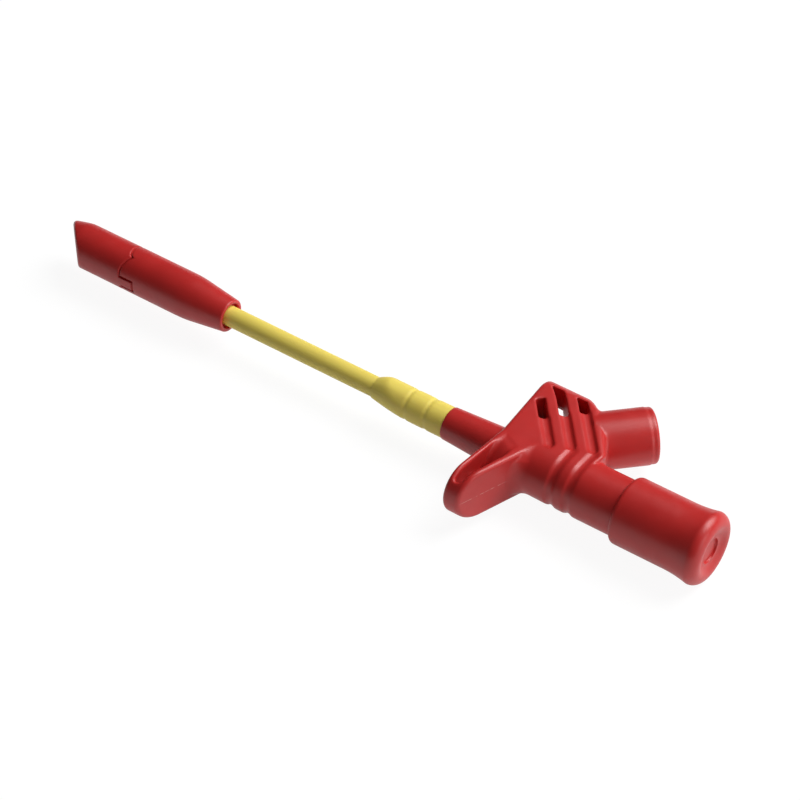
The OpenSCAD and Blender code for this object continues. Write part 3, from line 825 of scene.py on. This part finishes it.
def level_surface(field, low, high, cell):
    """Closed surface where a field is zero. Each cell of a grid that the surface crosses gets one point, the
    mean of its edges' crossings; each grid edge that is crossed gets a quad of the four cells round it.
    The points then slide along the field's slope until they lie on the surface."""
    axes = [np.arange(a, b + cell, cell) for a, b in zip(low, high)]
    values = field(*np.meshgrid(*axes, indexing="ij"))
    inside = values < 0
    shape = np.array(values.shape) - 1
    total = np.zeros((*shape, 3))
    count = np.zeros(tuple(shape))
    flips = []
    for axis in range(3):
        a = np.moveaxis(values, axis, 0)
        crossed = (a[:-1] < 0) != (a[1:] < 0)
        step = np.where(crossed, a[:-1] / np.where(crossed, a[:-1] - a[1:], 1), 0)
        crossed = np.moveaxis(crossed, 0, axis)
        step = np.moveaxis(step, 0, axis)
        flips.append(crossed)
        others = [k for k in range(3) if k != axis]
        for u in (0, 1):
            for v in (0, 1):
                window = [slice(None)] * 3
                window[others[0]] = slice(u, u + shape[others[0]])
                window[others[1]] = slice(v, v + shape[others[1]])
                hit = crossed[tuple(window)]
                count += hit
                total[..., axis] += step[tuple(window)]
                total[..., others[0]] += hit * u
                total[..., others[1]] += hit * v
    cells = np.argwhere(count > 0)
    number = np.full(tuple(shape), -1)
    number[tuple(cells.T)] = np.arange(len(cells))
    points = cells + total[tuple(cells.T)] / count[tuple(cells.T)][:, None]
    points = points * cell + [a[0] for a in axes]
    quads = []
    for axis in range(3):
        b, c = (axis + 1) % 3, (axis + 2) % 3
        edges = np.argwhere(flips[axis])
        pair = edges[:, [b, c]]
        edges = edges[((pair > 0) & (pair < shape[[b, c]])).all(axis=1)]
        ring = []
        for back_b, back_c in ((1, 1), (0, 1), (0, 0), (1, 0)):
            place = edges.copy()
            place[:, b] -= back_b
            place[:, c] -= back_c
            ring.append(number[tuple(place.T)])
        ring = np.stack(ring, axis=1)
        leaving = inside[tuple(edges.T)]
        quads.append(np.where(leaving[:, None], ring, ring[:, ::-1]))
    nudge = 0.02
    flattest = 0.1
    for slide in range(4):
        here = field(*points.T)
        slope = [field(*(points + d).T) - field(*(points - d).T) for d in np.eye(3) * nudge]
        slope = np.stack(slope, axis=1) / (2 * nudge)
        steepness = np.maximum((slope ** 2).sum(axis=1), flattest)
        move = here[:, None] * slope / steepness[:, None]
        points = points - np.clip(move, -cell / 2, cell / 2)
    return points, np.concatenate(quads)


# Finishes

def add(tree, kind, settings, links=None):
    """Adds one node: settings go to its sockets by name or number, or to its own options, and links come
    from other nodes."""
    made = tree.nodes.new(kind)
    for key, value in settings.items():
        if isinstance(key, int) or key in made.inputs:
            made.inputs[key].default_value = value
        else:
            setattr(made, key, value)
    for key, source in (links or {}).items():
        tree.links.new(source, made.inputs[key])
    return made


def finish(name):
    """New material with only its shader and output, and the shader's tree and object coordinates."""
    material = bpy.data.materials.new(name)
    material.use_nodes = True
    tree = material.node_tree
    tree.nodes.clear()
    shader = add(tree, "ShaderNodeBsdfPrincipled", {})
    add(tree, "ShaderNodeOutputMaterial", {}, {"Surface": shader.outputs[0]})
    place = add(tree, "ShaderNodeTexCoord", {}).outputs["Object"]
    return material, tree, shader, place


def per_metre(millimetres):
    """Noise scale whose blotches are about that many millimetres across."""
    return 1000 / millimetres


def blotches(tree, place, millimetres, low, high, detail=2.0):
    """Soft noise of that size, stretched to run from low to high."""
    settings = {"Scale": per_metre(millimetres), "Detail": detail}
    noise = add(tree, "ShaderNodeTexNoise", settings, {"Vector": place})
    settings = {"From Min": 0.3, "From Max": 0.7, "To Min": low, "To Max": high}
    return add(tree, "ShaderNodeMapRange", settings, {"Value": noise.outputs["Fac"]}).outputs[0]


def tinted(tree, base, factor):
    """Base colour made lighter or darker by a factor round 1."""
    settings = {"data_type": "RGBA", "blend_type": "MULTIPLY", 0: 1.0, 6: (*base, 1)}
    grey = add(tree, "ShaderNodeCombineColor", {}, {"Red": factor, "Green": factor, "Blue": factor})
    return add(tree, "ShaderNodeMix", settings, {7: grey.outputs[0]}).outputs[2]


def wing_flash(tree, place):
    """How much of the flash shows: all of it close to the parting plane, which tilts with the wing, but only
    out on the wing and behind its front edge, and broken up about every millimetre."""
    split = add(tree, "ShaderNodeSeparateXYZ", {}, {"Vector": place})
    out = add(tree, "ShaderNodeMath", {"operation": "SUBTRACT", 1: AXIS_Y}, {0: split.outputs["Y"]})
    tilt = math.tan(bpy.context.scene.hook_handle.wing_tilt)
    rise = add(tree, "ShaderNodeMath", {"operation": "MULTIPLY", 1: tilt}, {0: out.outputs[0]})
    up = add(tree, "ShaderNodeMath", {"operation": "SUBTRACT", 1: AXIS_Z}, {0: split.outputs["Z"]})
    off = add(tree, "ShaderNodeMath", {"operation": "ADD"}, {0: up.outputs[0], 1: rise.outputs[0]})
    far = add(tree, "ShaderNodeMath", {"operation": "ABSOLUTE"}, {0: off.outputs[0]})
    settings = {"From Min": 0.00006, "From Max": 0.00013, "To Min": 1.0, "To Max": 0.0}
    line = add(tree, "ShaderNodeMapRange", settings, {"Value": far.outputs[0]})
    settings = {"From Min": -0.0095, "From Max": -0.0075, "To Min": 1.0, "To Max": 0.0}
    wing = add(tree, "ShaderNodeMapRange", settings, {"Value": out.outputs[0]})
    settings = {"From Min": FLANGE_X + 0.0026, "From Max": FLANGE_X + 0.003}
    rear = add(tree, "ShaderNodeMapRange", settings, {"Value": split.outputs["X"]})
    broken = blotches(tree, place, 1.1, -0.6, 1.4)
    shown = line.outputs[0]
    settings = {"operation": "MULTIPLY", "use_clamp": True}
    for mask in (wing.outputs[0], rear.outputs[0], broken):
        shown = add(tree, "ShaderNodeMath", settings, {0: shown, 1: mask}).outputs[0]
    return shown


def red_polyamide(name, parting_line):
    """Polyamide moulded in a spark-eroded tool: deep red all through, a satin skin with a soft, broad
    gleam, faint flow clouds 7 mm across and a fine grain, and on the handle a thin flash line."""
    colours = bpy.context.scene.hook_finish
    material, tree, shader, place = finish(name)
    shader.inputs["IOR"].default_value = 1.53
    base = tinted(tree, colours.red, blotches(tree, place, 7, 0.95, 1.05))
    if parting_line:
        settings = {"data_type": "RGBA", 7: (*colours.red_pale, 1)}
        base = add(tree, "ShaderNodeMix", settings, {0: wing_flash(tree, place), 6: base}).outputs[2]
    tree.links.new(base, shader.inputs["Base Color"])
    tree.links.new(blotches(tree, place, 2.5, 0.36, 0.44), shader.inputs["Roughness"])
    # The real grain is about 0.05 mm, too fine for the render, so it is drawn at 0.5 mm
    grain = blotches(tree, place, 0.5, 0.0, 1.0)
    bump = add(tree, "ShaderNodeBump", {"Strength": 0.12, "Distance": 0.00004}, {"Height": grain})
    tree.links.new(bump.outputs[0], shader.inputs["Normal"])
    return material


def yellow_polypropylene():
    """Polypropylene drawn out as tube: a waxy yellow with a soft gleam and faint streaks along the shaft."""
    colours = bpy.context.scene.hook_finish
    material, tree, shader, place = finish("extruded_yellow_polypropylene")
    shader.inputs["IOR"].default_value = 1.49
    shader.inputs["Subsurface Weight"].default_value = 0.1
    shader.inputs["Subsurface Radius"].default_value = (1.0, 0.85, 0.3)
    shader.inputs["Subsurface Scale"].default_value = 0.001
    stretched = add(tree, "ShaderNodeMapping", {"Scale": (0.06, 1, 1)}, {"Vector": place}).outputs[0]
    base = tinted(tree, colours.yellow, blotches(tree, stretched, 1.2, 0.96, 1.04))
    tree.links.new(base, shader.inputs["Base Color"])
    tree.links.new(blotches(tree, place, 3, 0.42, 0.5), shader.inputs["Roughness"])
    bump = add(tree, "ShaderNodeBump", {"Strength": 0.1, "Distance": 0.00004},
               {"Height": blotches(tree, stretched, 0.6, 0.0, 1.0)})
    tree.links.new(bump.outputs[0], shader.inputs["Normal"])
    return material


def bare_metal(name, base, low, high, ring_mm):
    """Bare metal with tool marks: rings that many millimetres apart along the shaft, and a gleam that
    is sharper or softer from place to place."""
    material, tree, shader, place = finish(name)
    shader.inputs["Metallic"].default_value = 1.0
    tint = tinted(tree, base, blotches(tree, place, 1.5, 0.93, 1.05))
    tree.links.new(tint, shader.inputs["Base Color"])
    tree.links.new(blotches(tree, place, 0.8, low, high), shader.inputs["Roughness"])
    bands_per_scale = 3.18
    scale = per_metre(ring_mm) / bands_per_scale
    settings = {"bands_direction": "X", "Scale": scale, "Distortion": 0.4, "Detail": 1.0}
    rings = add(tree, "ShaderNodeTexWave", settings, {"Vector": place}).outputs["Fac"]
    bump = add(tree, "ShaderNodeBump", {"Strength": 0.15, "Distance": 0.00003}, {"Height": rings})
    tree.links.new(bump.outputs[0], shader.inputs["Normal"])
    return material


def finish_of(slot):
    """The finish for one of the record's material slots, made once."""
    colours = bpy.context.scene.hook_finish
    makers = {
        "red_plastic": ("moulded_red_polyamide", lambda: red_polyamide("moulded_red_polyamide", False)),
        "yellow_plastic": ("extruded_yellow_polypropylene", yellow_polypropylene),
        "brass": ("turned_brass", lambda: bare_metal("turned_brass", colours.brass, 0.25, 0.4, 0.25)),
        "nickel": ("nickel_plate", lambda: bare_metal("nickel_plate", colours.nickel, 0.16, 0.28, 0.4)),
        "steel": ("drawn_steel", lambda: bare_metal("drawn_steel", colours.steel, 0.24, 0.36, 0.3)),
    }
    name, maker = makers[slot]
    return bpy.data.materials.get(name) or maker()


# Stage

def floor_sheet(scene):
    """Flat white floor under the part. Seen straight on or mirrored it is mostly plain white, so only a
    faint shadow shows, and for every other ray it is a white surface that throws light back."""
    half = 8.0
    plain_strength = 1.06
    plain_share = 0.88
    # Satin plastic mirrors the floor close by, which lies in the part's own shade
    mirrored_share = 0.75
    corners = [(-half, -half, 0), (half, -half, 0), (half, half, 0), (-half, half, 0)]
    mesh = bpy.data.meshes.new("floor")
    mesh.from_pydata(corners, [], [(0, 1, 2, 3)])
    material = bpy.data.materials.new("white_floor")
    material.use_nodes = True
    tree = material.node_tree
    tree.nodes.clear()
    white = add(tree, "ShaderNodeBsdfDiffuse", {"Color": (*scene.hook_finish.floor, 1)})
    glow = add(tree, "ShaderNodeEmission", {"Color": (1, 1, 1, 1), "Strength": plain_strength})
    rays = add(tree, "ShaderNodeLightPath", {})
    settings = {"operation": "MULTIPLY", 1: mirrored_share}
    mirrored = add(tree, "ShaderNodeMath", settings, {0: rays.outputs["Is Glossy Ray"]})
    seen = rays.outputs["Is Camera Ray"]
    for other in (mirrored.outputs[0], rays.outputs["Is Transmission Ray"]):
        seen = add(tree, "ShaderNodeMath", {"operation": "MAXIMUM"}, {0: seen, 1: other}).outputs[0]
    share = add(tree, "ShaderNodeMath", {"operation": "MULTIPLY", 1: plain_share}, {0: seen})
    links = {0: share.outputs[0], 1: white.outputs[0], 2: glow.outputs[0]}
    mixed = add(tree, "ShaderNodeMixShader", {}, links)
    add(tree, "ShaderNodeOutputMaterial", {}, {"Surface": mixed.outputs[0]})
    mesh.materials.append(material)
    floor = bpy.data.objects.new("floor", mesh)
    scene.collection.objects.link(floor)


def soft_light(name, place, target, size, power):
    """Square soft light at a place, turned towards a target."""
    lamp = bpy.data.lights.new(name, "AREA")
    lamp.size = size
    lamp.energy = power
    box = bpy.data.objects.new(name, lamp)
    box.location = place
    box.rotation_euler = (Vector(target) - Vector(place)).to_track_quat("-Z", "Y").to_euler()
    bpy.context.scene.collection.objects.link(box)


def world_light(scene, strength):
    """Even dim light from all round."""
    world = bpy.data.worlds.new("studio")
    world.use_nodes = True
    world.node_tree.nodes.clear()
    glow = add(world.node_tree, "ShaderNodeBackground", {"Color": (1, 1, 1, 1), "Strength": strength})
    add(world.node_tree, "ShaderNodeOutputWorld", {}, {"Surface": glow.outputs[0]})
    scene.world = world


def photo_camera(scene):
    """Camera at the photograph's viewing angle: its distance back from a target along the azimuth and the
    elevation, rolled about the line of sight. The lens comes from a focal length in pixels of the frame."""
    azimuth = math.radians(35.53)
    elevation = math.radians(42.838)
    roll = math.radians(0.198)
    focal_pixels = 2744.65
    frame_pixels = 800
    distance = 0.58625
    target = Vector((FLANGE_X - 0.021592, AXIS_Y - 0.007263, AXIS_Z + 0.007965))
    back = Vector((math.sin(azimuth) * math.cos(elevation), -math.cos(azimuth) * math.cos(elevation),
                   math.sin(elevation)))
    right = (-back).cross(Vector((0, 0, 1))).normalized()
    up = right.cross(-back)
    turned_right = right * math.cos(roll) + up * math.sin(roll)
    turned_up = up * math.cos(roll) - right * math.sin(roll)
    data = bpy.data.cameras.new("photo_camera")
    data.sensor_width = 36
    data.lens = focal_pixels * data.sensor_width / frame_pixels
    data.clip_start = 0.01
    camera = bpy.data.objects.new("photo_camera", data)
    scene.collection.objects.link(camera)
    turn = Matrix((turned_right, turned_up, back)).transposed()
    camera.matrix_world = Matrix.Translation(target + back * distance) @ turn.to_4x4()
    return camera


# Operators

class HOOK_OT_nose(bpy.types.Operator):
    """Nose hood with its slanted open end and the rounded seam"""
    bl_idname = "hook.nose"
    bl_label = "Nose hood"

    def execute(self, context):
        head = sizes(context.scene.hook_head)
        points, faces = nose_surface(head, stations())
        material = finish_of("red_plastic")
        add_piece("nose_shell", points, faces, "nose_hood", "grip", material)
        return {"FINISHED"}


class HOOK_OT_sleeve(bpy.types.Operator):
    """Head sleeve with its taper and mouth"""
    bl_idname = "hook.sleeve"
    bl_label = "Head sleeve"

    def execute(self, context):
        head = sizes(context.scene.hook_head)
        shaft = sizes(context.scene.hook_shaft)
        points, faces = sleeve_surface(head, shaft, stations())
        material = finish_of("red_plastic")
        add_piece("sleeve_shell", points, faces, "head_sleeve", "grip", material)
        return {"FINISHED"}


class HOOK_OT_collar(bpy.types.Operator):
    """Collar at the rear of the shaft, with its skewed shoulder and two rings"""
    bl_idname = "hook.collar"
    bl_label = "Shaft collar"

    def execute(self, context):
        points, faces = collar_surface(sizes(context.scene.hook_shaft), stations())
        material = finish_of("yellow_plastic")
        add_piece("collar_boot", points, faces, "shaft_collar", "grip", material)
        return {"FINISHED"}


class HOOK_OT_handle(bpy.types.Operator):
    """Handle moulding with its neck, finger wing, ribbed web, socket stub and barrel"""
    bl_idname = "hook.handle"
    bl_label = "Handle"

    def execute(self, context):
        h = sizes(context.scene.hook_handle)
        margin = 1
        half_height = 8
        low = (-1000 * NECK_LENGTH - margin, -h["wing_reach"] - margin, -half_height)
        reach = (h["socket_length"] + h["socket_diameter"] / 2) * math.sin(h["socket_angle"])
        high = (h["barrel_length"] + margin, reach + margin, half_height)
        points, faces = level_surface(lambda x, y, z: handle_field(x, y, z, h), low, high, h["cell"])
        material = red_polyamide("moulded_red_polyamide_with_parting_line", True)
        add_piece("handle_moulding", points, faces, "handle_body", "grip", material, crease=60)
        return {"FINISHED"}


class HOOK_OT_plunger(bpy.types.Operator):
    """Plunger cap that runs on the barrel"""
    bl_idname = "hook.plunger"
    bl_label = "Plunger"

    def execute(self, context):
        handle = sizes(context.scene.hook_handle)
        points, faces = plunger_surface(handle, sizes(context.scene.hook_plunger), stations())
        material = finish_of("red_plastic")
        add_piece("plunger_cap", points, faces, "plunger", "plunger_set", material)
        return {"FINISHED"}


class HOOK_OT_spring(bpy.types.Operator):
    """Return spring, drawn at rest between its seat and the plunger's floor"""
    bl_idname = "hook.spring"
    bl_label = "Return spring"

    def execute(self, context):
        cap = sizes(context.scene.hook_plunger)
        at = stations()
        points, faces = spring_surface(cap, at)
        material = finish_of("steel")
        piece = add_piece("spring_coil", points, faces, "return_spring", "grip", material)
        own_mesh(piece)
        return {"FINISHED"}


class HOOK_OT_inner_works(bpy.types.Operator):
    """Finishes of the solids that stay as they are: shaft tube, hook, rod, bushes and contacts"""
    bl_idname = "hook.inner_works"
    bl_label = "Inner works"

    def execute(self, context):
        for part in frame["record"]["subparts"]:
            node = frame["nodes"][part["node"]]
            node.data.materials.clear()
            node.data.materials.append(finish_of(part["material_slot"]))
        return {"FINISHED"}


class HOOK_OT_stage(bpy.types.Operator):
    """Plain pale floor, soft studio lights and the camera"""
    bl_idname = "hook.stage"
    bl_label = "Stage"

    def execute(self, context):
        scene = context.scene
        floor_sheet(scene)
        soft_light("key_softbox", place=(0.38, 0.52, 0.82), target=(0.0, 0.0, 0.0), size=0.72, power=12)
        soft_light("side_softbox", place=(2.0, 0.0, 0.64), target=(0.0, 0.0, 0.01), size=1.0, power=8.6)
        world_light(scene, strength=0.015)
        scene.camera = photo_camera(scene)
        scene.view_settings.view_transform = "Standard"
        return {"FINISHED"}


class HOOK_PT_panel(bpy.types.Panel):
    """Steps that build the test hook's looks"""
    bl_idname = "HOOK_PT_panel"
    bl_label = "Test hook"
    bl_space_type = "VIEW_3D"
    bl_region_type = "UI"
    bl_category = "Test hook"

    def draw(self, context):
        for operator in OPERATORS:
            self.layout.operator(operator.bl_idname)
        for name in GROUPS:
            group = getattr(context.scene, name)
            box = self.layout.box()
            for key in group.__annotations__:
                box.prop(group, key)


GROUPS = {
    "hook_head": HeadSizes,
    "hook_shaft": ShaftSizes,
    "hook_handle": HandleSizes,
    "hook_plunger": PlungerSizes,
    "hook_finish": FinishColours,
}
OPERATORS = (HOOK_OT_nose, HOOK_OT_sleeve, HOOK_OT_collar, HOOK_OT_handle, HOOK_OT_plunger, HOOK_OT_spring,
             HOOK_OT_inner_works, HOOK_OT_stage)


def register():
    for group in (*GROUPS.values(), *OPERATORS, HOOK_PT_panel):
        bpy.utils.register_class(group)
    for name, group in GROUPS.items():
        setattr(bpy.types.Scene, name, bpy.props.PointerProperty(type=group))


def unregister():
    for name in GROUPS:
        delattr(bpy.types.Scene, name)
    for group in (HOOK_PT_panel, *OPERATORS, *GROUPS.values()):
        bpy.utils.unregister_class(group)


def main():
    register()
    bpy.ops.hook.nose()
    bpy.ops.hook.sleeve()
    bpy.ops.hook.collar()
    bpy.ops.hook.handle()
    bpy.ops.hook.plunger()
    bpy.ops.hook.spring()
    bpy.ops.hook.inner_works()
    bpy.ops.hook.stage()


if __name__ == "__main__":
    main()
